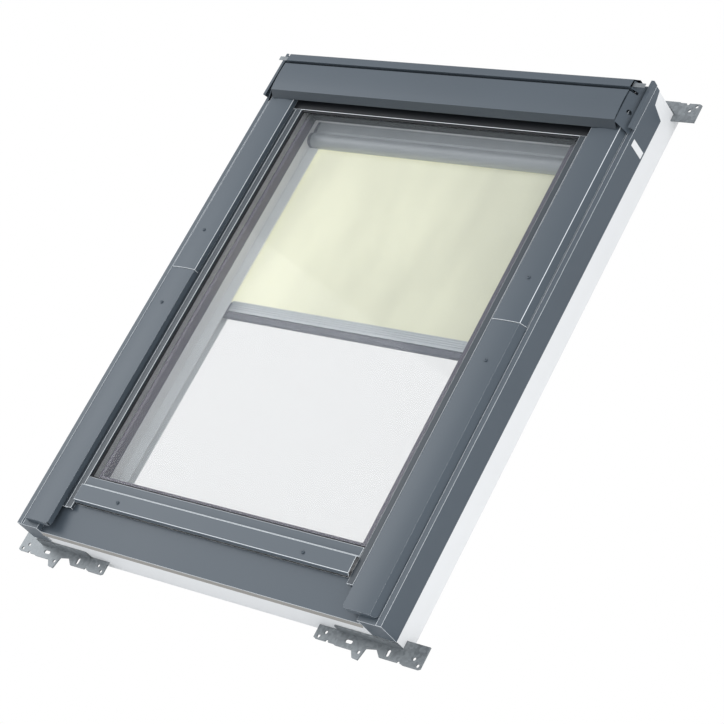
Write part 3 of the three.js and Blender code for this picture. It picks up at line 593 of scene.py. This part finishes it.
# %% [markdown]
# ## Screws
# Small pan-head screws hold the side covers and the sash cover. A head is a low turned dome with a
# round recess: a cylinder is added, its top is inset and raised twice, and a recess is pressed down. One
# function makes each head at its place, on the outer face of the cover under it.


# %% Helper: one pan-head screw
# Each step moves the top face in by a share of the radius and up by a share of the height.
HEAD_STEPS = ((0.25, 0.35), (0.35, 0.1), (0.1, -0.5))
FACES_UP = 0.9


def pan_head(name, place, radius, height):
    bpy.ops.object.select_all(action="DESELECT")
    bpy.ops.mesh.primitive_cylinder_add(vertices=24, radius=radius, depth=height, location=(0, 0, height / 2))
    head = bpy.context.object
    head.name = name
    bpy.ops.object.transform_apply(location=True, rotation=True, scale=True)
    bpy.ops.object.mode_set(mode="EDIT")
    mesh = bmesh.from_edit_mesh(head.data)
    for face in mesh.faces:
        face.select_set(face.normal.z > FACES_UP)
    bmesh.update_edit_mesh(head.data)
    for inwards, upwards in HEAD_STEPS:
        bpy.ops.mesh.inset(thickness=radius * inwards, depth=height * upwards)
    bpy.ops.object.mode_set(mode="OBJECT")
    head.data.transform(Matrix.Translation(place))
    bpy.ops.object.shade_smooth_by_angle(angle=SMOOTH_ANGLE)
    return head


# %% Cover screws
SCREW_RADIUS = 0.0028
SCREW_HEIGHT = 0.0016
COVER_SCREW_X = 0.345
SEAM_Y = 0.025
COVER_SCREW_STEPS = {"upper": 0.080, "lower": -0.072}
COVER_SCREW_BODY = {"upper": "frame", "lower": "sash"}


def top_of(piece, x, y):
    """Height of a piece's outer face under a point."""
    return piece.ray_cast(Vector((x, y, 1.0)), Vector((0, 0, -1)))[1].z


screws = []
for half, step in COVER_SCREW_STEPS.items():
    for side, sign in (("right", 1), ("left", -1)):
        cover = fine[f"{half}_cover_{side}"]
        x, y = sign * COVER_SCREW_X, SEAM_Y + step
        seat = top_of(cover, x, y)
        screw = pan_head(f"cover_screw_{half}_{side}", Vector((x, y, seat)), SCREW_RADIUS, SCREW_HEIGHT)
        screw.data.materials.append(cladding_coat)
        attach(screw, COVER_SCREW_BODY[half])
        screws.append(screw)
SASH_SCREW_X = 0.199
SASH_SCREW_Y = -0.4135
for side, sign in (("right", 1), ("left", -1)):
    x = sign * SASH_SCREW_X
    seat = top_of(fine["sash_bottom_cover"], x, SASH_SCREW_Y)
    screw = pan_head(f"sash_cover_screw_{side}", Vector((x, SASH_SCREW_Y, seat)), SCREW_RADIUS, SCREW_HEIGHT)
    screw.data.materials.append(cladding_coat)
    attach(screw, "sash")
    screws.append(screw)
print("screws:", len(screws))

# %% [markdown]
# ## Small sheet-metal parts
# Three thin pieces finish the picture: a blank plate on the right side face, and at each end of the
# hood a flat clip that ties the back strip to its side bar. Each is a cube that is scaled to size, and
# every edge is eased.


# %% Helper: one thin plate
EDGE_SHARE = 0.25


def thin_plate(name, low_corner, high_corner, material):
    bpy.ops.object.select_all(action="DESELECT")
    middle = (Vector(low_corner) + Vector(high_corner)) / 2
    spans = Vector(high_corner) - Vector(low_corner)
    bpy.ops.mesh.primitive_cube_add(size=1, location=middle)
    plate = bpy.context.object
    plate.name = name
    plate.scale = spans
    bpy.ops.object.transform_apply(location=True, rotation=True, scale=True)
    easing = plate.modifiers.new("eased_edges", "BEVEL")
    easing.width = min(spans) * EDGE_SHARE
    easing.segments = 2
    bpy.ops.object.modifier_apply(modifier=easing.name)
    plate.data.materials.append(material)
    return plate


# %% Blank plate
PLATE_GAUGE = 0.0006
PLATE_Y = (0.3775, 0.3895)
PLATE_Z = (0.0475, 0.083)
cladding_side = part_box("side_cladding_right")[1][0]
side_plate = thin_plate(
    "side_plate",
    (cladding_side, PLATE_Y[0], PLATE_Z[0]),
    (cladding_side + PLATE_GAUGE, PLATE_Y[1], PLATE_Z[1]),
    white_coat,
)
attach(side_plate, "frame")

# %% Clips
CLIP_Y = (0.4655, 0.4735)
CLIP_RISE = (0.0105, 0.0115)
CLIP_FOOT_INSET = 0.003
CLIP_STRIP_LAP = 0.006
strip_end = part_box("hood_back_strip")[1][0]
bar_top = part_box("hood_side_bar_right")[1][2]
clips = []
for side, sign in (("right", 1), ("left", -1)):
    foot_x = sign * (cladding_side - CLIP_FOOT_INSET)
    inner_x = sign * (strip_end - CLIP_STRIP_LAP)
    tie = thin_plate(
        f"hood_clip_{side}",
        (min(foot_x, inner_x), CLIP_Y[0], bar_top + CLIP_RISE[0]),
        (max(foot_x, inner_x), CLIP_Y[1], bar_top + CLIP_RISE[1]),
        zinc,
    )
    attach(tie, "frame")
    clips.append(tie)
print("plates: 1, clips:", len(clips))
